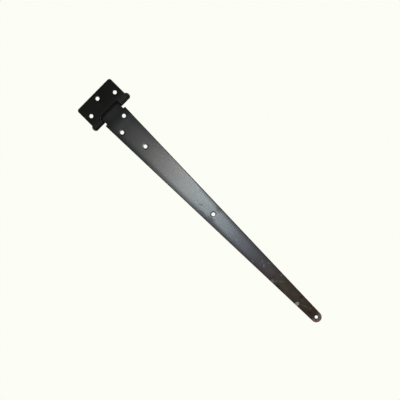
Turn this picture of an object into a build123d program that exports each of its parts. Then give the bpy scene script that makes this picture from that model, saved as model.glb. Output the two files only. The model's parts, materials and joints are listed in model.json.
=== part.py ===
from build123d import *
import math
import os

# A tee hinge: a short cross plate, a long tapered strap and a riveted pin, in millimetres.
# X runs from the cross plate to the strap's tip and Z runs up the pin. The fixing faces of both leaves lie
# in the plane Y = 0 and face -Y, and the knuckles are rolled towards +Y.
# The origin is on the cross plate's fixing face, midway between its two outer screw holes.

# Sheet steel, its edges and its screw holes
sheet_thickness = 2.5
edge_break = 0.35  # how far the outline's edges are broken, all round both faces
screw_hole_diameter = 6.0

# Pin and knuckles
pin_diameter = 6.0
pin_running_clearance = 0.05  # radial, between the pin and each rolled knuckle
pin_head_diameter = 11.0
pin_head_height = 3.3
pin_head_play = 0.1  # between each riveted head and the end of its knuckle
curl_gap = 0.3  # between the end of each roll and the leaf that it closes on

# Cross plate
plate_width = 70.5
plate_reach = 38.0  # pin axis to the plate's far edge
plate_corner_radius = 4.0
outer_hole_from_pin = 16.5  # pin axis to the row of the two outer screw holes
outer_hole_from_side = 9.7  # each outer screw hole to the nearer side of the plate
middle_hole_from_far_edge = 9.5
notch_end_clearance = 0.5  # between the strap's knuckle and the inner edge of the notch's end
notch_side_clearance = 0.25  # between each side of the strap's tongue and the notch
notch_corner_radius = 0.6

# Strap
strap_length = 450.0  # pin axis to the end of the tip
strap_tip_radius = 8.2
tongue_width = 35.0
shoulder_step = 3.8  # each side of the tongue to the long edge beside it, if that ran on to the pin axis
shoulder_clearance = 4.1  # between the cross plate's knuckles and the strap's shoulders
neck_corner_radius = 1.5
shoulder_corner_radius = 0.8
stagger_offset = 10.0  # each of the two staggered holes to the strap's centre line
upper_stagger_hole_from_pin = 18.4
lower_stagger_hole_from_pin = 34.4
head_hole_from_pin = 74.4
middle_hole_from_pin = 220.5
tip_hole_diameter = 5.0

# Worked out from the sizes above
knuckle_bore_radius = pin_diameter / 2 + pin_running_clearance
knuckle_radius = knuckle_bore_radius + sheet_thickness
notch_end_from_pin = math.sqrt((knuckle_radius + notch_end_clearance) ** 2 - knuckle_bore_radius**2)
notch_width = tongue_width + 2 * notch_side_clearance
strap_width_at_pin = tongue_width + 2 * shoulder_step
shoulder_from_pin = knuckle_radius + shoulder_clearance
tip_centre_from_pin = strap_length - strap_tip_radius
past_knuckle = knuckle_radius + sheet_thickness  # clear of the knuckle, for what is cut through it
trim_margin = sheet_thickness  # how far each rolled blank stands past its finished outline


def rolled_blank(reach, width):
    """A strip along +X, as high as width, with its near end rolled into a knuckle round the pin.

    The strip's fixing face runs on round the knuckle until the end of the roll comes back to within
    curl_gap of the strip's inner face. The pin axis stands at X = 0, Y = knuckle_radius.
    """

    def on_roll(radius, turn):
        return (-radius * math.sin(turn), knuckle_radius - radius * math.cos(turn))

    outside, bore = knuckle_radius, knuckle_bore_radius
    turn = 2 * math.pi - math.acos((bore - curl_gap) / outside)
    outer_arc = ThreePointArc(on_roll(outside, 0), on_roll(outside, turn / 2), on_roll(outside, turn))
    roll_end = Line(on_roll(outside, turn), on_roll(bore, turn))
    inner_arc = ThreePointArc(on_roll(bore, turn), on_roll(bore, turn / 2), on_roll(bore, 0))
    strip = Polyline(on_roll(bore, 0), (reach, sheet_thickness), (reach, 0), on_roll(outside, 0))
    section = make_face([outer_arc, roll_end, inner_arc, strip])
    return extrude(section, amount=width / 2, both=True)


def trimmed(blank, outline):
    """The rolled blank cut to its flat outline, which is drawn with X along the hinge and Y up the pin."""
    cutter = extrude(Plane.XZ * outline, amount=2 * past_knuckle, both=True)
    return blank & cutter


def deburred(leaf):
    """The leaf with the outline of its fixing face and of its inner face broken, knuckle ends and all."""
    faces = leaf.faces().filter_by(Axis.Y)
    fixing_face = faces.sort_by(Axis.Y)[0]
    inner_face = faces.filter_by_position(Axis.Y, sheet_thickness / 2, 2 * sheet_thickness)[0]
    outlines = fixing_face.outer_wire().edges() + inner_face.outer_wire().edges()
    return chamfer(outlines, edge_break)


def cross_plate_outline():
    """The cross plate laid flat, with its notch and its three screw holes, reaching towards -X."""
    blank = Pos((past_knuckle - plate_reach) / 2, 0) * Rectangle(plate_reach + past_knuckle, plate_width)
    blank = fillet(blank.vertices().group_by(Axis.X)[0], plate_corner_radius)
    notch_length = notch_end_from_pin + 2 * past_knuckle
    notch = Pos(notch_length / 2 - notch_end_from_pin, 0) * Rectangle(notch_length, notch_width)
    notch = fillet(notch.vertices().group_by(Axis.X)[0], notch_corner_radius)
    side_hole = plate_width / 2 - outer_hole_from_side
    places = [
        (-outer_hole_from_pin, side_hole),
        (-outer_hole_from_pin, -side_hole),
        (middle_hole_from_far_edge - plate_reach, 0),
    ]
    outline = blank - notch
    for place in places:
        outline -= Pos(*place) * Circle(screw_hole_diameter / 2)
    return outline


def strap_outline():
    """The strap laid flat: tongue, shoulders, straight taper, round tip and five holes."""
    half_at_pin = strap_width_at_pin / 2
    span = math.hypot(tip_centre_from_pin, half_at_pin)
    # The two long edges are tangents to the round tip.
    taper = math.acos(strap_tip_radius / span) - math.atan2(tip_centre_from_pin, half_at_pin)
    shoulder = (shoulder_from_pin, half_at_pin - shoulder_from_pin * math.tan(taper))
    tangent_x = tip_centre_from_pin + strap_tip_radius * math.sin(taper)
    tangent_y = strap_tip_radius * math.cos(taper)
    upper = FilletPolyline(
        (-past_knuckle, tongue_width / 2),
        (shoulder_from_pin, tongue_width / 2),
        shoulder,
        (tangent_x, tangent_y),
        radius=[neck_corner_radius, shoulder_corner_radius],
    )
    lower = mirror(upper, about=Plane.XZ)
    tip = ThreePointArc((tangent_x, tangent_y), (strap_length, 0), (tangent_x, -tangent_y))
    end = Line(upper @ 0, lower @ 0)
    outline = make_face([*upper.edges(), tip, *lower.edges(), end])
    screw_places = [
        (upper_stagger_hole_from_pin, stagger_offset),
        (lower_stagger_hole_from_pin, -stagger_offset),
        (head_hole_from_pin, 0),
        (middle_hole_from_pin, 0),
    ]
    for place in screw_places:
        outline -= Pos(*place) * Circle(screw_hole_diameter / 2)
    return outline - Pos(tip_centre_from_pin, 0) * Circle(tip_hole_diameter / 2)


def hinge_pin():
    """The pin with both ends riveted over into low domes, standing on its own axis."""
    half_length = plate_width / 2 + pin_head_play
    head_radius = pin_head_diameter / 2
    top = half_length + pin_head_height
    dome_radius = (head_radius**2 + pin_head_height**2) / (2 * pin_head_height)
    dome_centre = top - dome_radius
    halfway = math.asin(head_radius / dome_radius) / 2
    crown = (dome_radius * math.sin(halfway), dome_centre + dome_radius * math.cos(halfway))
    shank = Polyline((pin_diameter / 2, 0), (pin_diameter / 2, half_length), (head_radius, half_length))
    dome = ThreePointArc((head_radius, half_length), crown, (0, top))
    axis_line = Polyline((0, top), (0, 0), (pin_diameter / 2, 0))
    half_section = Plane.XZ * make_face([*shank.edges(), dome, *axis_line.edges()])
    half = revolve(half_section, Axis.Z)
    return half + mirror(half, about=Plane.XY)


def cross_plate():
    """The cross plate with its pin axis at X = 0, Y = knuckle_radius, reaching towards -X."""
    blank = mirror(rolled_blank(plate_reach + trim_margin, plate_width + 2 * trim_margin), about=Plane.YZ)
    leaf = trimmed(blank, cross_plate_outline())
    # The notch's rounded corners are in the flat of the plate, so the rolls are parted squarely above them.
    parting = Pos(0, sheet_thickness + past_knuckle) * Box(2 * past_knuckle, 2 * past_knuckle, notch_width)
    return deburred(leaf - parting)


def strap():
    """The strap with its pin axis at X = 0, Y = knuckle_radius, reaching towards +X."""
    blank = rolled_blank(strap_length + trim_margin, strap_width_at_pin + 2 * trim_margin)
    return deburred(trimmed(blank, strap_outline()))


def main():
    on_pin = Pos(outer_hole_from_pin, 0)
    nodes = {
        "cross_plate": on_pin * cross_plate(),
        "strap": on_pin * strap(),
        "hinge_pin": on_pin * Pos(0, knuckle_radius) * hinge_pin(),
    }
    os.makedirs("parts", exist_ok=True)
    for name, shape in nodes.items():
        export_step(shape, f"parts/{name}.step")


main()
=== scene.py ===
"""A black tee hinge as it lies in its photograph: paint, wear, studio light and camera, in metres."""

import json
import logging
import math
from collections.abc import Mapping, Sequence
from dataclasses import dataclass
from enum import Enum
from typing import Any

import bpy
from mathutils import Matrix, Vector

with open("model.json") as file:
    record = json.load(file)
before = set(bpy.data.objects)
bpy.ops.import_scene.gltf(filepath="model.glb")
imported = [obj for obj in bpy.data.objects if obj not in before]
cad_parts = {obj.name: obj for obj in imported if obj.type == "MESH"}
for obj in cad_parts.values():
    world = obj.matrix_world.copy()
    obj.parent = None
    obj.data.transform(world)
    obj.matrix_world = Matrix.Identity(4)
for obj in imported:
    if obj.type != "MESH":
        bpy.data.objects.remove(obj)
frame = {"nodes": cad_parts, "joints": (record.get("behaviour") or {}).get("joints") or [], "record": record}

BLACK = (0.0, 0.0, 0.0)
MM = 0.001  # one millimetre, in metres
MID_NOISE = 0.5  # the value that plain noise lies about
PIN_X = frame["joints"][0]["pos_m"][0] / MM  # the pin axis, in millimetres along the hinge

Colour = tuple[float, float, float]
Place = tuple[float, float, float]
Span = tuple[float, float]  # where a change starts and is done, or what a value is before and after it
Socket = bpy.types.NodeSocket
Feed = float | Colour | Place | Socket
Inputs = Mapping[str, Feed] | Mapping[int, Feed]  # what each named or numbered socket takes

log = logging.getLogger("tee_hinge")


class SocketKind(Enum):
    """What a socket on a shader group carries."""

    VALUE = "NodeSocketFloat"
    VECTOR = "NodeSocketVector"


def rgba(colour: Colour) -> tuple[float, float, float, float]:
    """The colour with full opacity, as a colour socket takes it."""
    return (*colour, 1.0)


def grey(level: float) -> Colour:
    """A plain grey."""
    return (level, level, level)


class Wiring:
    """Adds nodes to one node tree and joins their sockets."""

    def __init__(self, tree: bpy.types.NodeTree) -> None:
        """Keeps the tree that the nodes go into.

        Args:
            tree: The node tree of a material, a world or a group.
        """
        self.tree = tree

    def feed(self, socket: Socket, value: Feed) -> None:
        """Joins a socket to an input, or sets the input to a plain value.

        Args:
            socket: The input.
            value: The socket or plain value that it takes.
        """
        if isinstance(value, Socket):
            self.tree.links.new(value, socket)
        elif isinstance(value, tuple) and socket.type == "RGBA":
            socket.default_value = rgba(value)
        else:
            socket.default_value = value

    def node(self, kind: str, inputs: Inputs | None = None, **settings: object) -> bpy.types.Node:
        """Adds a node.

        Args:
            kind: Blender's name of the node's type.
            inputs: What each named or numbered input takes.
            **settings: The node's own settings.

        Returns:
            The new node.
        """
        made = self.tree.nodes.new(kind)
        for name, value in settings.items():
            setattr(made, name, value)
        for name, value in (inputs or {}).items():
            self.feed(made.inputs[name], value)
        return made

    def calc(self, operation: str, first: Feed, second: Feed = 0.0, clamp: bool = False) -> Socket:
        """One step of arithmetic on plain values.

        Args:
            operation: Blender's name of the Math node's operation.
            first: The first number.
            second: The second number, where the operation has one.
            clamp: Whether the result is kept from 0 to 1.

        Returns:
            The result's socket.
        """
        made = self.node("ShaderNodeMath", {0: first, 1: second}, operation=operation, use_clamp=clamp)
        return made.outputs[0]

    def vector_calc(self, operation: str, first: Feed, second: Feed = (0.0, 0.0, 0.0)) -> Socket:
        """One step of arithmetic on vectors.

        Args:
            operation: Blender's name of the Vector Math node's operation.
            first: The first vector.
            second: The second vector.

        Returns:
            The result's socket, a value for a length, a distance or a dot product.
        """
        made = self.node("ShaderNodeVectorMath", {0: first, 1: second}, operation=operation)
        measures = operation in ("LENGTH", "DISTANCE", "DOT_PRODUCT")
        return made.outputs["Value" if measures else "Vector"]

    def ramp(self, value: Feed, start: Feed, end: Feed, low: Feed = 0.0, high: Feed = 1.0) -> Socket:
        """A smooth step from low at start to high at end.

        Args:
            value: The number that is read.
            start: Where the step begins.
            end: Where the step ends.
            low: The result at the start.
            high: The result at the end.

        Returns:
            The result's socket.
        """
        inputs = {"Value": value, "From Min": start, "From Max": end, "To Min": low, "To Max": high}
        return self.node("ShaderNodeMapRange", inputs, interpolation_type="SMOOTHSTEP").outputs["Result"]

    def rolled_off(self, distance: Feed, width: Feed) -> Socket:
        """A rounded fall from 0, at width from an edge, to 1 at the edge itself.

        Args:
            distance: How far the point lies from the edge.
            width: How far from the edge the fall starts.

        Returns:
            The fall's socket.
        """
        nearness = self.calc("SUBTRACT", 1.0, self.calc("DIVIDE", distance, width), clamp=True)
        return self.calc("POWER", nearness, 2.0)

    def mix(self, share: Feed, first: Feed, second: Feed) -> Socket:
        """A blend of two colours, which the Mix node takes at its sockets 6 and 7.

        Args:
            share: How much of the second colour shows, from 0 to 1.
            first: The first colour.
            second: The second colour.

        Returns:
            The blended colour's socket.
        """
        made = self.node("ShaderNodeMix", {0: share, 6: first, 7: second}, data_type="RGBA")
        return made.outputs[2]

    def between(self, share: Feed, first: Feed, second: Feed) -> Socket:
        """A blend of two plain values, the second by share."""
        return self.node("ShaderNodeMix", {0: share, 2: first, 3: second}, data_type="FLOAT").outputs[0]

    def noise(self, place: Feed, scale: float, detail: float = 2.0, roughness: float = 0.5) -> Socket:
        """Plain noise, from 0 to 1 about a half.

        Args:
            place: The vector that it is read at.
            scale: Waves per unit of the vector.
            detail: How many finer layers lie on it.
            roughness: How strong the finer layers are.

        Returns:
            The noise value's socket.
        """
        inputs = {"Vector": place, "Scale": scale, "Detail": detail, "Roughness": roughness}
        return self.node("ShaderNodeTexNoise", inputs).outputs["Fac"]

    def tones(self, value: Feed, tones: Sequence["Tone"]) -> Socket:
        """A colour that passes from tone to tone.

        Args:
            value: The place along the strap that is read.
            tones: The tones in the order of their places.

        Returns:
            The colour's socket.
        """
        start, end = tones[0].at, tones[-1].at
        share = self.node("ShaderNodeMapRange", {"Value": value, "From Min": start, "From Max": end})
        made = self.node("ShaderNodeValToRGB", {"Fac": share.outputs["Result"]})
        stops = made.color_ramp.elements
        while len(stops) < len(tones):
            stops.new(1.0)
        for stop, tone in zip(stops, tones):
            stop.position = (tone.at - start) / (end - start)
            stop.color = rgba(tone.colour)
        return made.outputs["Color"]

    def place_in_mm(self) -> Socket:
        """The shaded point in the hinge's own frame, in millimetres."""
        place = self.node("ShaderNodeTexCoord").outputs["Object"]
        return self.vector_calc("MULTIPLY", place, (1 / MM, 1 / MM, 1 / MM))

    def turned(self, vector: Feed, angle: Feed) -> Socket:
        """A vector turned about the line out of the hinge's face, by an angle in radians."""
        inputs = {"Vector": vector, "Angle": angle}
        return self.node("ShaderNodeVectorRotate", inputs, rotation_type="Y_AXIS").outputs["Vector"]

    def parts_of(self, vector: Feed) -> tuple[Socket, ...]:
        """The X, Y and Z of a vector."""
        return tuple(self.node("ShaderNodeSeparateXYZ", {"Vector": vector}).outputs)


def fresh_wiring(owner: bpy.types.Material | bpy.types.World) -> Wiring:
    """Clears a new material or world of the nodes that it starts with.

    Args:
        owner: The material or world.

    Returns:
        The wiring of its empty node tree.
    """
    owner.use_nodes = True
    owner.node_tree.nodes.clear()
    return Wiring(owner.node_tree)


class Effect:
    """A shader group, built once and placed in each material with its own values."""

    def __init__(
        self, name: str, inputs: Mapping[str, SocketKind], outputs: Mapping[str, SocketKind]
    ) -> None:
        """Makes the empty group with its named sockets.

        Args:
            name: The group's name.
            inputs: What each named input carries.
            outputs: What each named output carries.
        """
        self.group = bpy.data.node_groups.new(name, "ShaderNodeTree")
        for side, sockets in (("INPUT", inputs), ("OUTPUT", outputs)):
            for socket_name, kind in sockets.items():
                self.group.interface.new_socket(name=socket_name, in_out=side, socket_type=kind.value)
        self.wiring = Wiring(self.group)
        self.entry = self.wiring.node("NodeGroupInput").outputs
        self.exit = self.wiring.node("NodeGroupOutput").inputs

    def put_out(self, name: str, value: Feed) -> None:
        """Joins a result to one of the group's named outputs."""
        self.wiring.feed(self.exit[name], value)

    def placed(self, wiring: Wiring, inputs: Inputs) -> bpy.types.NodeOutputs:
        """Places the group in a material.

        Args:
            wiring: The material's wiring.
            inputs: What each of the group's inputs takes.

        Returns:
            The placed group's outputs.
        """
        return wiring.node("ShaderNodeGroup", inputs, node_tree=self.group).outputs


class PunchedEdge(Effect):
    """The soft shoulder that a punch and the paint leave along every edge of the sheet."""

    SAMPLES = 8
    FULL_TURN = 0.25  # one less the cosine of the normal's turn, where the edge's mask is full

    def __init__(self) -> None:
        """Builds the group."""
        super().__init__(
            "punched edge",
            {"Radius": SocketKind.VALUE},
            {"Normal": SocketKind.VECTOR, "Edge": SocketKind.VALUE},
        )
        w = self.wiring
        bevel = w.node("ShaderNodeBevel", {"Radius": self.entry["Radius"]}, samples=self.SAMPLES)
        rounded = bevel.outputs["Normal"]
        flat = w.node("ShaderNodeNewGeometry").outputs["Normal"]
        turned = w.calc("SUBTRACT", 1.0, w.vector_calc("DOT_PRODUCT", rounded, flat))
        self.put_out("Normal", rounded)
        self.put_out("Edge", w.ramp(turned, 0.0, self.FULL_TURN))


class PaintFilm(Effect):
    """Sprayed paint: a fine orange peel on slow waves, and a slight mottle of its tone."""

    PEEL_PER_MM = 0.9
    WAVES_PER_MM = 0.035
    MOTTLE_PER_MM = 0.03
    MOTTLE_STEP = (0.35, 0.65)

    def __init__(self) -> None:
        """Builds the group."""
        super().__init__(
            "paint film",
            {"Peel": SocketKind.VALUE, "Waves": SocketKind.VALUE},
            {"Height": SocketKind.VALUE, "Mottle": SocketKind.VALUE},
        )
        w = self.wiring
        place = w.place_in_mm()
        peel = w.calc("MULTIPLY", w.noise(place, self.PEEL_PER_MM), self.entry["Peel"])
        waves = w.calc("MULTIPLY", w.noise(place, self.WAVES_PER_MM, detail=0.0), self.entry["Waves"])
        self.put_out("Height", w.calc("ADD", peel, waves))
        self.put_out("Mottle", w.ramp(w.noise(place, self.MOTTLE_PER_MM), *self.MOTTLE_STEP))


class Chip(Effect):
    """A ragged spot where the paint has come off or something has stuck to it, with its rim."""

    RAGGED_PER_MM = 0.8
    RIM_REACH = 1.5  # the share of the spot's reach at which its dark rim has faded

    def __init__(self) -> None:
        """Builds the group."""
        super().__init__(
            "chip",
            {"Centre": SocketKind.VECTOR, "Reach": SocketKind.VECTOR, "Turn": SocketKind.VALUE,
             "Ragged": SocketKind.VALUE, "Core": SocketKind.VALUE},
            {"Inside": SocketKind.VALUE, "Rim": SocketKind.VALUE},
        )
        w = self.wiring
        place = w.place_in_mm()
        turned = w.turned(w.vector_calc("SUBTRACT", place, self.entry["Centre"]), self.entry["Turn"])
        away = w.vector_calc("DIVIDE", turned, self.entry["Reach"])
        noise = w.calc("SUBTRACT", w.noise(place, self.RAGGED_PER_MM), MID_NOISE)
        wobble = w.calc("MULTIPLY", noise, self.entry["Ragged"])
        distance = w.calc("ADD", w.vector_calc("LENGTH", away), wobble)
        inside = w.ramp(distance, 1.0, self.entry["Core"])
        near = w.ramp(distance, self.RIM_REACH, 1.0)
        self.put_out("Inside", inside)
        self.put_out("Rim", w.calc("SUBTRACT", near, inside, clamp=True))


class Scuffs(Effect):
    """Fine, broken scratches that run roughly one way."""

    ACROSS_PER_MM = 0.9
    ALONG_PER_MM = 0.05
    BREAKS_PER_MM = 0.07
    LINE_WIDTH = 0.012
    KEPT_STEP = (0.56, 0.66)

    def __init__(self) -> None:
        """Builds the group."""
        super().__init__("scuffs", {"Turn": SocketKind.VALUE}, {"Mask": SocketKind.VALUE})
        w = self.wiring
        place = w.place_in_mm()
        stretch = (self.ALONG_PER_MM, self.ACROSS_PER_MM, self.ACROSS_PER_MM)
        stretched = w.vector_calc("MULTIPLY", w.turned(place, self.entry["Turn"]), stretch)
        off_line = w.calc("ABSOLUTE", w.calc("SUBTRACT", w.noise(stretched, 1.0, detail=1.0), MID_NOISE))
        line = w.ramp(off_line, self.LINE_WIDTH, 0.0)
        kept = w.ramp(w.noise(place, self.BREAKS_PER_MM, detail=3.0), *self.KEPT_STEP)
        self.put_out("Mask", w.calc("MULTIPLY", line, kept))


class DrawnRim(Effect):
    """The way a punch draws the sheet down round a hole."""

    IN_THE_SHEET = (1.0, 0.0, 1.0)  # leaves out how deep in the sheet a point lies

    def __init__(self) -> None:
        """Builds the group."""
        super().__init__(
            "drawn rim",
            {"Centre": SocketKind.VECTOR, "Radius": SocketKind.VALUE, "Width": SocketKind.VALUE},
            {"Sink": SocketKind.VALUE},
        )
        w = self.wiring
        offset = w.vector_calc("SUBTRACT", w.place_in_mm(), self.entry["Centre"])
        away = w.vector_calc("LENGTH", w.vector_calc("MULTIPLY", offset, self.IN_THE_SHEET))
        past_rim = w.calc("SUBTRACT", away, self.entry["Radius"])
        self.put_out("Sink", w.rolled_off(past_rim, self.entry["Width"]))


class CrownWearAndSheen(Effect):
    """Lighter streaks along the crowns of the rolled knuckles, along the pin: paint rubbed thin, and a
    painted highlight where the bend catches the lamps.
    """

    ACROSS_PER_MM = 0.35
    ALONG_PER_MM = 0.12
    STREAK_STEP = (0.30, 0.62)
    STREAK_WEAR = (0.55, 1.0)

    def __init__(self) -> None:
        """Builds the group."""
        super().__init__(
            "crown wear and sheen",
            {"Crown": SocketKind.VALUE, "Reach": SocketKind.VALUE},
            {"Mask": SocketKind.VALUE},
        )
        w = self.wiring
        place = w.place_in_mm()
        off_crown = w.calc("ABSOLUTE", w.calc("SUBTRACT", w.parts_of(place)[0], self.entry["Crown"]))
        near = w.ramp(off_crown, self.entry["Reach"], 0.0)
        stretched = w.vector_calc("MULTIPLY", place, (self.ACROSS_PER_MM, 0.0, self.ALONG_PER_MM))
        noise = w.noise(stretched, 1.0, detail=3.0, roughness=0.65)
        streaks = w.ramp(noise, *self.STREAK_STEP, *self.STREAK_WEAR)
        self.put_out("Mask", w.calc("MULTIPLY", near, streaks))


class Effects:
    """The shader groups that the finishes share."""

    def __init__(self) -> None:
        """Builds each group once."""
        self.edge = PunchedEdge()
        self.film = PaintFilm()
        self.chip = Chip()
        self.scuffs = Scuffs()
        self.rim = DrawnRim()
        self.crown = CrownWearAndSheen()


class Stain(Enum):
    """The colours of the marks on the strap, some of them painted shade along its long edges and a painted
    warm tint in its highlight.
    """

    PALE = (0.27, 0.26, 0.225)
    DUST = (0.130, 0.112, 0.085)
    LILAC = (0.16, 0.15, 0.18)
    BROWN = (0.100, 0.078, 0.055)
    UMBER = (0.058, 0.041, 0.023)
    RED = (0.080, 0.036, 0.026)
    PINK_SHEEN = (0.048, 0.030, 0.030)
    PLUM = (0.056, 0.038, 0.040)
    MAUVE = (0.030, 0.020, 0.036)
    OLIVE_SHADE = (0.024, 0.024, 0.014)
    SOOT = (0.012, 0.009, 0.005)
    SHADOW = (0.010, 0.008, 0.006)


@dataclass(frozen=True)
class Tone:
    """A tone of the paint at one place along the hinge, in millimetres."""

    at: float
    colour: Colour


@dataclass(frozen=True)
class Hole:
    """A punched hole, placed in the hinge's own frame, in millimetres."""

    x: float
    z: float
    radius: float


@dataclass(frozen=True)
class Mark:
    """One mark on the strap's face, placed from the pin axis and the centre line, in millimetres."""

    WRAP = 1.4  # how far a mark reaches round an edge of the sheet

    along: float
    above: float
    half_length: float
    half_width: float
    stain: Stain
    strength: float
    ragged: float = 1.2
    core: float = 0.1  # the share of its reach at which its edge starts to fade
    turn: float = 0.0  # radians about the line out of the face
    rim: float = 0.0  # how dark its rim is
    dulling: float = 0.0  # how much rougher the paint is in it

    def spread(self, w: Wiring, effects: Effects) -> bpy.types.NodeOutputs:
        """Where the mark and its rim lie, as masks.

        Args:
            w: The material's wiring.
            effects: The shared shader groups.

        Returns:
            The masks, named Inside and Rim.
        """
        inputs = {
            "Centre": (PIN_X + self.along, 0.0, self.above),
            "Reach": (self.half_length, self.WRAP, self.half_width),
            "Turn": self.turn,
            "Ragged": self.ragged,
            "Core": self.core,
        }
        return effects.chip.placed(w, inputs)


@dataclass(frozen=True)
class Paint:
    """Black paint on steel, as one piece wears it, with its lengths and heights in millimetres."""

    name: str
    colour: Colour
    roughness: float
    gloss: float  # the shader's specular level, where 0.5 is plain enamel
    holes: tuple[Hole, ...] = ()
    edge_radius: float = 1.0
    edge_roughness: float = 0.8
    edge_shade: float = 0.8  # how much painted shade darkens the paint where it wraps over an edge
    peel: float = 0.0002
    waves: float = 0.05
    mottle: float = 0.10  # how much darker the paint is between its patches
    rim_width: float = 2.6
    rim_sink: float = 0.12
    # rim_shade: how much painted shade blackens the drawn-down rim round each hole
    rim_shade: float = 1.0
    crown_x: float = 16.0
    crown_reach: float = 13.0
    # the lighter colour of rubbed paint and painted highlight on the knuckles' crowns
    crown_worn_and_lit: Colour = (0.0210, 0.0210, 0.0185)
    crown_sides: Span = (-20.0, 20.0)  # from where to where up the pin the streaks change
    crown_wear_and_sheen: Span = (0.45, 0.85)  # how strong the rubbed paint and painted highlight are below and above that

    def start(self) -> tuple[bpy.types.Material, Wiring, bpy.types.Node]:
        """Makes the material with its shader.

        Returns:
            The material, its wiring and its Principled shader.
        """
        material = bpy.data.materials.new(self.name)
        w = fresh_wiring(material)
        shader = w.node("ShaderNodeBsdfPrincipled", {"Specular IOR Level": self.gloss})
        w.node("ShaderNodeOutputMaterial", {"Surface": shader.outputs["BSDF"]})
        return material, w, shader

    def body_colour(self, w: Wiring) -> Feed:
        """The paint's own colour."""
        return self.colour

    def marked(self, w: Wiring, effects: Effects, colour: Feed) -> Feed:
        """The colour with the piece's own marks on it."""
        return colour

    def base_colour(self, w: Wiring, effects: Effects, mottle: Feed, sunk: Feed) -> Socket:
        """The paint's colour in slow patches, with streaks of rubbed paint and painted highlight on the
        knuckles' crowns, and painted shade in each rim.

        Args:
            w: The material's wiring.
            effects: The shared shader groups.
            mottle: The patches.
            sunk: How far the sheet is drawn down round the holes.

        Returns:
            The colour's socket.
        """
        body = self.body_colour(w)
        colour = w.mix(mottle, w.mix(self.mottle, body, BLACK), body)
        # rubbed paint and painted highlight: the colour lightens in streaks on the knuckles' crowns
        crown_streaks = effects.crown.placed(w, {"Crown": self.crown_x, "Reach": self.crown_reach})["Mask"]
        wear = w.ramp(w.parts_of(w.place_in_mm())[2], *self.crown_sides, *self.crown_wear_and_sheen)
        colour = w.mix(w.calc("MULTIPLY", crown_streaks, wear), colour, self.crown_worn_and_lit)
        colour = self.marked(w, effects, colour)
        # painted shade: the paint turns black in each drawn-down rim round a hole
        return w.mix(w.calc("MULTIPLY", sunk, self.rim_shade), colour, BLACK)

    def body_roughness(self, w: Wiring, effects: Effects) -> Feed:
        """The roughness away from the edges."""
        return self.roughness

    def relief(self, w: Wiring) -> list[Socket]:
        """The heights that shape this piece's face, in millimetres."""
        return []

    def drawn_down(self, w: Wiring, effects: Effects) -> Feed:
        """How far the sheet is drawn down round the piece's holes, from 0 to 1 at a hole's edge.

        Args:
            w: The material's wiring.
            effects: The shared shader groups.

        Returns:
            The mask's socket, or 0 on a piece with no holes.
        """
        sunk = 0.0
        for hole in self.holes:
            inputs = {"Centre": (hole.x, 0.0, hole.z), "Radius": hole.radius, "Width": self.rim_width}
            sunk = w.calc("ADD", sunk, effects.rim.placed(w, inputs)["Sink"])
        return sunk

    def material(self, effects: Effects) -> bpy.types.Material:
        """Builds the finished material.

        Args:
            effects: The shared shader groups.

        Returns:
            The material.
        """
        material, w, shader = self.start()
        film = effects.film.placed(w, {"Peel": self.peel, "Waves": self.waves})
        edge = effects.edge.placed(w, {"Radius": self.edge_radius * MM})
        height = film["Height"]
        for part in self.relief(w):
            height = w.calc("ADD", height, part)
        sunk = self.drawn_down(w, effects)
        height = w.calc("SUBTRACT", height, w.calc("MULTIPLY", sunk, self.rim_sink))
        bump = w.node("ShaderNodeBump", {"Height": height, "Normal": edge["Normal"], "Distance": MM})
        colour = self.base_colour(w, effects, film["Mottle"], sunk)
        # painted shade: the colour is darkened towards black along every edge of the sheet
        colour = w.mix(w.calc("MULTIPLY", edge["Edge"], self.edge_shade), colour, BLACK)
        roughness = w.between(edge["Edge"], self.body_roughness(w, effects), self.edge_roughness)
        w.feed(shader.inputs["Base Color"], colour)
        w.feed(shader.inputs["Roughness"], roughness)
        w.feed(shader.inputs["Normal"], bump.outputs["Normal"])
        return material


@dataclass(frozen=True)
class PlatePaint(Paint):
    """The cross plate's paint, with a band of painted shade along the notch that takes the strap's knuckle,
    where the gap round the knuckle lies in shadow.
    """

    notch_end: float = PIN_X - 5.2  # where the notch ends along the hinge
    notch_half_width: float = 17.75
    gap_shade_width: float = 2.2
    gap_shade_strength: float = 1.0

    def marked(self, w: Wiring, effects: Effects, colour: Feed) -> Feed:
        """The colour with the painted shade of the gap, a dark band along the notch.

        Args:
            w: The material's wiring.
            effects: The shared shader groups, not used here.
            colour: The colour without the painted shade.

        Returns:
            The colour's socket.
        """
        # painted shade: the paint turns black in a band along the notch's end and sides, where the gap lies
        # in shadow
        x, _, z = w.parts_of(w.place_in_mm())
        past_end = w.calc("SUBTRACT", self.notch_end, x)
        past_side = w.calc("SUBTRACT", w.calc("ABSOLUTE", z), self.notch_half_width)
        gap_shade = w.ramp(w.calc("MAXIMUM", past_end, past_side), self.gap_shade_width, self.gap_shade_width / 2)
        return w.mix(w.calc("MULTIPLY", gap_shade, self.gap_shade_strength), colour, BLACK)


@dataclass(frozen=True)
class EdgeFall:
    """How the strap's face falls away towards one of its long edges, in millimetres."""

    inwards: float  # 1 on the -Z edge and -1 on the +Z edge
    change: Span  # from where to where along the hinge the fall changes
    width: Span
    height: Span  # of the face at the edge itself


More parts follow.
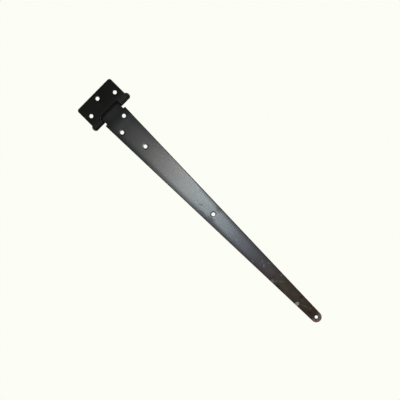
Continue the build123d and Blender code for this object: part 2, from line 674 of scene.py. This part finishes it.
@dataclass(frozen=True)
class StrapPaint(Paint):
    """The strap's paint: glossier in the middle, browner and marked towards the tip."""

    length: float = 450.0  # from the pin axis to the end of the tip
    half_width_at_pin: float = 21.3
    tip_radius: float = 8.2
    # tones: partly painted sheen, which lifts and tints the highlight along the middle
    tones: tuple[Tone, ...] = ()
    marks: tuple[Mark, ...] = ()
    head_roughness: float = 0.6
    head_reach: Span = (22.5, 50.5)  # where the rougher paint round the knuckle thins out
    notch_reach: Span = (15.0, 13.0)  # where the roll turns dull in the plate's notch
    falls: tuple[EdgeFall, ...] = (
        EdgeFall(1.0, (200.0, 245.0), (8.8, 9.5), (-0.18, -0.31)),
        EdgeFall(-1.0, (170.0, 214.0), (2.0, 8.0), (-0.05, -0.18)),
    )
    twist: Span = (0.0, -0.019)  # how far the face leans before and past the middle, as a slope
    twist_reach: Span = (180.0, 330.0)
    smear_per_mm: float = 0.025
    smear_step: Span = (0.40, 0.65)
    smear_roughness: Span = (0.003, 0.012)  # how much rougher the smears are before and past the middle
    outline_fade: Span = (1.8, 0.3)  # from the long edges: where their dull line of painted shade starts and is full
    outline_end: float = 12.0  # how far from the tip's centre the line starts to end
    # how dark the painted shade along the long edges is
    outline_shade: float = 0.9
    outline_dulling: float = 0.14
    side_fade: Span = (14.0, 2.0)  # from the long edges: where painted shade darkens the paint beside the head
    side_reach: Span = (150.0, 95.0)
    side_shade: float = 0.9
    scuff_colour: Colour = (0.10, 0.10, 0.095)
    scuff_turn: float = 0.5  # radians
    scuff_reach: Span = (250.0, 420.0)
    scuff_strength: Span = (0.1, 0.45)
    shade_colour: Colour = (0.046, 0.024, 0.0165)
    shade_reach: Span = (-15.0, -3.0)  # past the tip's centre
    shade_strength: float = 0.7
    rust: Colour = (0.215, 0.150, 0.140)
    rust_ring: Span = (2.8, 5.0)  # out from the tip's centre
    rust_reach: Span = (-5.0, 2.0)  # past the tip's centre
    rust_per_mm: float = 0.40
    rust_step: Span = (0.40, 0.6)
    rust_strength: Span = (0.45, 1.0)

    @property
    def tip_centre(self) -> float:
        """Where the centre of the round tip lies along the hinge."""
        return PIN_X + self.length - self.tip_radius

    def half_width(self, w: Wiring, x: Feed) -> Socket:
        """Half the strap's width at a place along it."""
        slope = (self.half_width_at_pin - self.tip_radius) / (self.length - self.tip_radius)
        return w.calc("SUBTRACT", self.half_width_at_pin + slope * PIN_X, w.calc("MULTIPLY", x, slope))

    def to_long_edge(self, w: Wiring) -> Socket:
        """How far the point lies inside the nearer of the two long edges."""
        x, _, z = w.parts_of(w.place_in_mm())
        return w.calc("SUBTRACT", self.half_width(w, x), w.calc("ABSOLUTE", z))

    def outline(self, w: Wiring) -> Socket:
        """A mask of the line along the two long edges that is duller and carries painted shade, which ends
        before the round tip.

        Args:
            w: The material's wiring.

        Returns:
            The mask's socket.
        """
        x = w.parts_of(w.place_in_mm())[0]
        line = w.ramp(self.to_long_edge(w), *self.outline_fade)
        return w.calc("MULTIPLY", line, w.ramp(x, self.tip_centre, self.tip_centre - self.outline_end))

    def relief(self, w: Wiring) -> list[Socket]:
        """The fall of the face towards its two long edges, and its slight twist.

        Args:
            w: The material's wiring.

        Returns:
            The heights' sockets.
        """
        x, _, z = w.parts_of(w.place_in_mm())
        half_width = self.half_width(w, x)
        heights = []
        for fall in self.falls:
            to_edge = w.calc("ADD", half_width, w.calc("MULTIPLY", z, fall.inwards))
            nearness = w.rolled_off(to_edge, w.ramp(x, *fall.change, *fall.width))
            heights.append(w.calc("MULTIPLY", nearness, w.ramp(x, *fall.change, *fall.height)))
        lean = w.calc("MULTIPLY", z, w.ramp(x, *self.twist_reach, *self.twist))
        return [*heights, lean]

    def body_roughness(self, w: Wiring, effects: Effects) -> Feed:
        """The roughness, which is higher round the knuckle, along the edges and where paint is smeared.

        Args:
            w: The material's wiring.
            effects: The shared shader groups.

        Returns:
            The roughness's socket.
        """
        place = w.place_in_mm()
        x = w.parts_of(place)[0]
        plain = w.ramp(x, *self.head_reach, self.head_roughness, self.roughness)
        plain = w.calc("MAXIMUM", plain, w.ramp(x, *self.notch_reach))
        smears = w.ramp(w.noise(place, self.smear_per_mm, detail=1.0), *self.smear_step)
        amount = w.ramp(x, *self.twist_reach, *self.smear_roughness)
        roughness = w.calc("ADD", plain, w.calc("MULTIPLY", smears, amount))
        roughness = w.calc("ADD", roughness, w.calc("MULTIPLY", self.outline(w), self.outline_dulling))
        for mark in (mark for mark in self.marks if mark.dulling):
            inside = mark.spread(w, effects)["Inside"]
            roughness = w.calc("ADD", roughness, w.calc("MULTIPLY", inside, mark.dulling))
        return roughness

    def body_colour(self, w: Wiring) -> Feed:
        """The paint's tones along the strap, partly painted sheen."""
        return w.tones(w.parts_of(w.place_in_mm())[0], self.tones)

    def marked(self, w: Wiring, effects: Effects, colour: Feed) -> Feed:
        """The colour with the strap's scuffs, painted shade along its long edges and beside its head, the
        rust round its tip and its marks.

        Args:
            w: The material's wiring.
            effects: The shared shader groups.
            colour: The colour without them.

        Returns:
            The colour's socket.
        """
        colour = self.with_scuffs(w, effects, colour)
        colour = self.with_painted_edge_shade(w, colour)
        colour = self.with_rusted_tip(w, colour)
        for mark in self.marks:
            spread = mark.spread(w, effects)
            colour = w.mix(w.calc("MULTIPLY", spread["Rim"], mark.rim), colour, BLACK)
            colour = w.mix(w.calc("MULTIPLY", spread["Inside"], mark.strength), colour, mark.stain.value)
        return colour

    def with_scuffs(self, w: Wiring, effects: Effects, colour: Feed) -> Socket:
        """The colour with fine scratches, more of them towards the tip.

        Args:
            w: The material's wiring.
            effects: The shared shader groups.
            colour: The colour without them.

        Returns:
            The colour's socket.
        """
        scuffs = effects.scuffs.placed(w, {"Turn": self.scuff_turn})["Mask"]
        amount = w.ramp(w.parts_of(w.place_in_mm())[0], *self.scuff_reach, *self.scuff_strength)
        return w.mix(w.calc("MULTIPLY", scuffs, amount), colour, self.scuff_colour)

    def with_painted_edge_shade(self, w: Wiring, colour: Feed) -> Socket:
        """The colour with painted shade: a dark line along the long edges, and darker sides beside the head,
        where the face falls away from the lamps.

        Args:
            w: The material's wiring.
            colour: The colour without them.

        Returns:
            The colour's socket.
        """
        x = w.parts_of(w.place_in_mm())[0]
        # painted shade: the colour darkens towards black along the long edges and beside the head
        colour = w.mix(w.calc("MULTIPLY", self.outline(w), self.outline_shade), colour, BLACK)
        sides = w.calc("MULTIPLY", w.ramp(self.to_long_edge(w), *self.side_fade), w.ramp(x, *self.side_reach))
        return w.mix(w.calc("MULTIPLY", sides, self.side_shade), colour, BLACK)

    def with_rusted_tip(self, w: Wiring, colour: Feed) -> Socket:
        """The colour with a brown shade before the tip and a broken, rusty ring round its hole.

        Args:
            w: The material's wiring.
            colour: The colour without them.

        Returns:
            The colour's socket.
        """
        place = w.place_in_mm()
        past_centre = w.calc("SUBTRACT", w.parts_of(place)[0], self.tip_centre)
        shade = w.calc("MULTIPLY", w.ramp(past_centre, *self.shade_reach), self.shade_strength)
        colour = w.mix(shade, colour, self.shade_colour)
        ring = w.ramp(w.vector_calc("DISTANCE", place, (self.tip_centre, 0.0, 0.0)), *self.rust_ring)
        rusted = w.calc("MULTIPLY", ring, w.ramp(past_centre, *self.rust_reach))
        broken = w.ramp(w.noise(place, self.rust_per_mm), *self.rust_step, *self.rust_strength)
        return w.mix(w.calc("MULTIPLY", rusted, broken), colour, self.rust)


@dataclass
class Hinge:
    """The tee hinge's three pieces, each in its own paint."""

    plate_paint: PlatePaint
    strap_paint: StrapPaint
    pin_paint: Paint

    def dress(self, effects: Effects) -> None:
        """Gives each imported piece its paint.

        Args:
            effects: The shared shader groups.
        """
        paints = {"cross_plate": self.plate_paint, "strap": self.strap_paint, "hinge_pin": self.pin_paint}
        for node, paint in paints.items():
            piece = frame["nodes"][node]
            piece.material_slots[0].material = paint.material(effects)
            log.info("%s wears %s", node, paint.name)


class Side(Enum):
    """Which side of the hinge a lamp stands on."""

    FACE = -1
    BACK = 1


@dataclass(frozen=True)
class Lamp:
    """A square soft lamp that looks at the hinge's middle, in metres and degrees."""

    name: str
    azimuth: float  # about +Z, from straight out of the side that it stands on
    power: float
    elevation: float
    distance: float
    size: float
    side: Side = Side.FACE
    colour: Colour = (1.0, 1.0, 1.0)
    mirrored: bool = True  # whether the lamp itself shows in a reflection

    def place(self, aim: Vector) -> None:
        """Adds the lamp to the scene.

        Args:
            aim: The point that it looks at.
        """
        azimuth, elevation = math.radians(self.azimuth), math.radians(self.elevation)
        level = Vector((math.sin(azimuth), self.side.value * math.cos(azimuth), 0.0))
        away = level * math.cos(elevation) + Vector((0.0, 0.0, math.sin(elevation)))
        light = bpy.data.lights.new(self.name, "AREA")
        light.shape = "SQUARE"
        light.size = self.size
        light.energy = self.power
        light.color = self.colour
        lamp = bpy.data.objects.new(self.name, light)
        lamp.location = aim + away * self.distance
        lamp.rotation_euler = away.to_track_quat("Z", "Y").to_euler()
        lamp.visible_camera = False
        lamp.visible_glossy = self.mirrored
        bpy.context.scene.collection.objects.link(lamp)
        log.info("lamp %s", self.name)


@dataclass(frozen=True)
class KeyLamp(Lamp):
    """A small lamp beside the camera, which the strap's face mirrors."""

    elevation: float = -3.2
    distance: float = 1.3
    size: float = 0.086


@dataclass(frozen=True)
class FillLamp(Lamp):
    """A wide, soft lamp that shows in no reflection."""

    distance: float = 2.4
    size: float = 1.6
    mirrored: bool = False


@dataclass
class Studio:
    """The pale room that the hinge is photographed in, in metres and degrees."""

    backdrop: Colour = (0.973, 0.982, 0.913)
    backdrop_depth: Span = (0.7, 1.0)  # a reflection's Y direction, from where it shows the backdrop
    room: float = 0.03  # how bright the room behind the camera is in a reflection
    room_aside: float = 0.28  # how bright the room is to the sides, overhead and below in a reflection
    room_depth: Span = (-0.85, -0.2)  # a reflection's Y direction, from behind the camera to the sides
    ambient: float = 0.30  # how bright the room is as soft light from all round
    floor_drop: float = 1.0
    floor_size: float = 8.0
    floor_fade: Span = (0.9, 2.3)  # how far out the floor starts and ends its fade into the room
    floor_colour: Colour = (0.86, 0.87, 0.82)
    aim: Place = (0.20725, 0.0, 0.0011)
    view_width: float = 0.6084  # what the picture takes in at the hinge
    camera_distance: float = 3.0
    camera_rise: float = 4.5  # above the strap's face
    camera_roll: float = 44.935  # turned so that the strap runs down to the right
    sensor: float = 36.0  # millimetres

    def lamps(self) -> list[Lamp]:
        """The lamps: two small keys, one warm and one cool, and three wide, soft fills.

        Returns:
            The lamps.
        """
        return [
            KeyLamp("key_left", azimuth=-2.23, power=0.83, colour=(1.0, 1.0, 0.94)),
            KeyLamp("key_right", azimuth=1.55, power=0.87, colour=(0.80, 1.0, 1.09)),
            FillLamp("fill_left", azimuth=-55.0, power=26.0, elevation=40.0),
            FillLamp("fill_right", azimuth=55.0, power=20.0, elevation=35.0),
            FillLamp("fill_back", azimuth=20.0, power=30.0, elevation=50.0, side=Side.BACK),
        ]

    def make_world(self) -> None:
        """Makes the room: pale where the camera or a reflection sees the backdrop, dim where it lights."""
        world = bpy.data.worlds.new("studio")
        w = fresh_wiring(world)
        path = w.node("ShaderNodeLightPath").outputs
        depth = w.parts_of(w.node("ShaderNodeTexCoord").outputs["Generated"])[1]
        reflection = w.calc("MAXIMUM", path["Is Glossy Ray"], path["Is Transmission Ray"])
        mirrored = w.calc("MULTIPLY", reflection, w.ramp(depth, *self.backdrop_depth))
        pale = w.calc("MAXIMUM", path["Is Camera Ray"], mirrored)
        aside = w.mix(w.ramp(depth, *self.room_depth), grey(self.room), grey(self.room_aside))
        dim = w.mix(path["Is Diffuse Ray"], aside, grey(self.ambient))
        background = w.node("ShaderNodeBackground", {"Color": w.mix(pale, dim, self.backdrop)})
        w.node("ShaderNodeOutputWorld", {"Surface": background.outputs["Background"]})
        bpy.context.scene.world = world

    def make_floor(self) -> None:
        """Lays the pale floor well below the hinge, which hangs by its fixing face."""
        centre = (self.aim[0], 0.0, -self.floor_drop)
        bpy.ops.object.select_all(action="DESELECT")
        bpy.ops.mesh.primitive_plane_add(size=self.floor_size, location=centre)
        floor = bpy.context.object
        floor.name = "floor"
        bpy.ops.object.transform_apply(location=True)
        material = bpy.data.materials.new("pale_floor")
        w = fresh_wiring(material)
        place = w.node("ShaderNodeTexCoord").outputs["Object"]
        far = w.ramp(w.vector_calc("DISTANCE", place, centre), *self.floor_fade)
        matt = w.node("ShaderNodeBsdfDiffuse", {"Color": self.floor_colour}).outputs["BSDF"]
        clear = w.node("ShaderNodeBsdfTransparent").outputs["BSDF"]
        surface = w.node("ShaderNodeMixShader", {0: far, 1: matt, 2: clear})
        w.node("ShaderNodeOutputMaterial", {"Surface": surface.outputs["Shader"]})
        floor.data.materials.append(material)

    def make_camera(self) -> None:
        """Sets the camera a long lens away, square to the strap's face but for a slight rise, and rolled."""
        rise, roll = math.radians(self.camera_rise), math.radians(self.camera_roll)
        back = Vector((0.0, -math.cos(rise), math.sin(rise)))
        level = Vector((1.0, 0.0, 0.0))
        upright = back.cross(level)
        right = level * math.cos(roll) + upright * math.sin(roll)
        up = upright * math.cos(roll) - level * math.sin(roll)
        turn = Matrix((right, up, back)).transposed().to_4x4()
        data = bpy.data.cameras.new("camera")
        data.sensor_width = self.sensor
        data.lens = self.sensor * self.camera_distance / self.view_width
        camera = bpy.data.objects.new("camera", data)
        camera.matrix_world = Matrix.Translation(Vector(self.aim) + back * self.camera_distance) @ turn
        bpy.context.scene.collection.objects.link(camera)
        bpy.context.scene.camera = camera

    def build(self) -> None:
        """Builds the whole studio."""
        self.make_world()
        self.make_floor()
        for lamp in self.lamps():
            lamp.place(Vector(self.aim))
        self.make_camera()
        bpy.context.scene.view_settings.view_transform = "Standard"
        log.info("studio ready")


def mount(name: str) -> dict[str, Any]:
    """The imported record's mount of that name."""
    return next(row for row in frame["record"]["mounts"] if row["name"] == name)


def plate_holes() -> tuple[Hole, ...]:
    """The cross plate's screw holes, where the record's mounts place them.

    Returns:
        The two outer holes and the middle one.
    """
    outer, middle = mount("plate_outer_screw_holes"), mount("plate_middle_screw_hole")
    outer_x, middle_x = outer["pos_m"][0] / MM, middle["pos_m"][0] / MM
    half_spacing, radius = outer["dims"]["spacing_y_mm"] / 2, outer["dims"]["hole_r_mm"]
    return (
        Hole(outer_x, half_spacing, radius),
        Hole(outer_x, -half_spacing, radius),
        Hole(middle_x, 0.0, middle["dims"]["r_mm"]),
    )


def strap_holes(stagger: float = 10.0) -> tuple[Hole, ...]:
    """The strap's screw holes, where the record's mounts place them.

    Args:
        stagger: How far each of the two staggered holes lies from the centre line, in millimetres.

    Returns:
        The two staggered holes, the two on the centre line and the tip's.
    """
    staggered, central = mount("strap_staggered_screw_holes"), mount("strap_centre_screw_holes")
    tip = mount("strap_tip_hole")
    staggered_x, central_x, tip_x = (row["pos_m"][0] / MM for row in (staggered, central, tip))
    aside = math.sqrt((staggered["dims"]["pcd_mm"] / 2) ** 2 - stagger**2)
    half_spacing, radius = central["dims"]["spacing_x_mm"] / 2, central["dims"]["hole_r_mm"]
    return (
        Hole(staggered_x - aside, stagger, radius),
        Hole(staggered_x + aside, -stagger, radius),
        Hole(central_x - half_spacing, 0.0, radius),
        Hole(central_x + half_spacing, 0.0, radius),
        Hole(tip_x, 0.0, tip["dims"]["r_mm"]),
    )


def strap_tones_and_sheen() -> tuple[Tone, ...]:
    """The strap's paint from its head to its tip: black, worn grey, slightly mauve, then brown; the grey and
    mauve-blue tones through the middle are partly painted sheen, which lifts and tints the highlight, and the
    brown towards the tip is the paint's own.

    Returns:
        The tones.
    """
    return (
        Tone(28.0, (0.0050, 0.0050, 0.0056)),
        Tone(46.0, (0.0113, 0.0088, 0.0110)),
        Tone(75.0, (0.0290, 0.0252, 0.0285)),
        Tone(140.0, (0.0400, 0.0280, 0.0325)),
        Tone(230.0, (0.0180, 0.0190, 0.0230)),
        Tone(264.0, (0.0360, 0.0290, 0.0420)),
        Tone(290.0, (0.0360, 0.0240, 0.0420)),
        Tone(335.0, (0.0340, 0.0205, 0.0290)),
        Tone(356.0, (0.0470, 0.0285, 0.0265)),
        Tone(374.0, (0.0410, 0.0262, 0.0180)),
        Tone(392.0, (0.0450, 0.0290, 0.0155)),
        Tone(428.0, (0.0490, 0.0330, 0.0190)),
        Tone(450.0, (0.0380, 0.0240, 0.0135)),
    )


def strap_marks() -> tuple[Mark, ...]:
    """The chips, streaks, spots and blooms on the strap's face, and patches of painted shade and painted
    sheen.

    Returns:
        The marks, those that lie on top last.
    """
    return (
        Mark(407.0, -6.4, 3.1, 3.9, Stain.PALE, 1.0, ragged=0.5, core=0.8, rim=0.9),
        Mark(356.0, -7.9, 4.2, 2.6, Stain.DUST, 1.0, ragged=1.0, core=0.5, rim=0.5),
        Mark(360.0, -5.0, 1.4, 2.6, Stain.DUST, 0.8, ragged=0.8, core=0.3),
        Mark(343.0, 0.4, 9.0, 5.0, Stain.PLUM, 0.7),
        Mark(353.0, -1.5, 3.5, 6.0, Stain.SHADOW, 0.55, turn=-0.4),
        Mark(377.0, -2.5, 11.0, 4.5, Stain.UMBER, 0.55),
        Mark(394.5, 1.6, 8.0, 5.0, Stain.PLUM, 0.6),
        Mark(366.0, 0.6, 6.0, 1.6, Stain.DUST, 0.5, core=0.2, turn=0.6),
        Mark(330.0, -1.0, 3.6, 1.0, Stain.LILAC, 1.0, ragged=0.5, core=0.4, turn=-0.75),
        Mark(324.0, 1.8, 3.2, 0.9, Stain.LILAC, 0.7, ragged=0.5, core=0.4, turn=-0.75),
        Mark(272.5, -2.6, 2.6, 2.2, Stain.LILAC, 0.6, ragged=0.8, core=0.2),
        Mark(409.5, 2.3, 5.0, 3.5, Stain.BROWN, 0.25),
        Mark(418.5, -0.2, 7.0, 1.8, Stain.BROWN, 0.65, ragged=1.6, core=0.2, turn=0.4),
        Mark(426.0, 2.6, 2.4, 1.3, Stain.BROWN, 0.9, ragged=0.6, core=0.5),
        Mark(367.8, -7.4, 3.4, 2.6, Stain.SOOT, 1.0, ragged=0.6, core=0.5),
        Mark(404.0, 5.4, 4.0, 2.8, Stain.SOOT, 0.8, ragged=0.8, core=0.3),
        Mark(421.5, -8.5, 7.0, 2.8, Stain.SOOT, 0.8, ragged=0.8, core=0.2),
        Mark(383.0, -8.2, 6.0, 2.4, Stain.RED, 0.7, ragged=0.8, core=0.3),
        Mark(333.0, 7.2, 2.2, 1.3, Stain.DUST, 0.8, ragged=0.6, core=0.5),
        Mark(359.0, 7.6, 3.0, 1.2, Stain.DUST, 0.7, ragged=0.8, core=0.4, turn=-0.75),
        Mark(313.0, -8.2, 2.6, 1.3, Stain.DUST, 0.8, ragged=0.8, core=0.5),
        Mark(430.5, -2.2, 8.0, 2.8, Stain.SOOT, 0.8, ragged=1.4, turn=0.5),
        Mark(223.0, -8.0, 10.0, 5.5, Stain.MAUVE, 0.6, dulling=0.07),
        Mark(221.0, 11.5, 9.0, 5.5, Stain.MAUVE, 0.6, dulling=0.07),
        Mark(197.0, -3.0, 5.5, 3.0, Stain.MAUVE, 0.4, turn=0.6, dulling=0.04),
        Mark(206.0, -10.5, 9.0, 3.5, Stain.MAUVE, 0.4, dulling=0.05),
        # painted shade: olive-dark patches and a black band along the long edges, where the highlight falls
        # off
        Mark(250.0, -12.5, 12.0, 3.5, Stain.OLIVE_SHADE, 0.6),
        Mark(262.0, -13.0, 30.0, 3.8, Stain.SHADOW, 0.8, ragged=0.8, core=0.3),
        Mark(254.0, 12.5, 10.0, 3.5, Stain.OLIVE_SHADE, 0.6, dulling=0.07),
        Mark(256.0, 3.5, 5.0, 6.0, Stain.MAUVE, 0.5),
        # painted sheen: a warm tint over the highlight beside the head's +Z edge
        Mark(126.0, 13.0, 38.0, 12.0, Stain.PINK_SHEEN, 0.8, ragged=0.8, core=0.0),
    )


def main() -> None:
    """Builds the hinge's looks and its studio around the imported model."""
    logging.basicConfig(level=logging.INFO, format="%(message)s")
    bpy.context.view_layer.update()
    hinge = Hinge(
        plate_paint=PlatePaint(
            name="plate_paint",
            colour=(0.0056, 0.0053, 0.0031),
            roughness=0.35,
            gloss=0.15,
            holes=plate_holes(),
            edge_radius=0.4,
            mottle=0.35,
        ),
        strap_paint=StrapPaint(
            name="strap_paint",
            colour=BLACK,
            roughness=0.216,
            gloss=0.5,
            holes=strap_holes(),
            crown_x=19.0,
            crown_reach=10.0,
            crown_worn_and_lit=(0.0150, 0.0150, 0.0145),
            crown_wear_and_sheen=(0.8, 0.8),
            tones=strap_tones_and_sheen(),
            marks=strap_marks(),
        ),
        pin_paint=Paint(name="pin_paint", colour=(0.0062, 0.0065, 0.0056), roughness=0.45, gloss=0.3),
    )
    hinge.dress(Effects())
    Studio().build()


if __name__ == "__main__":
    main()
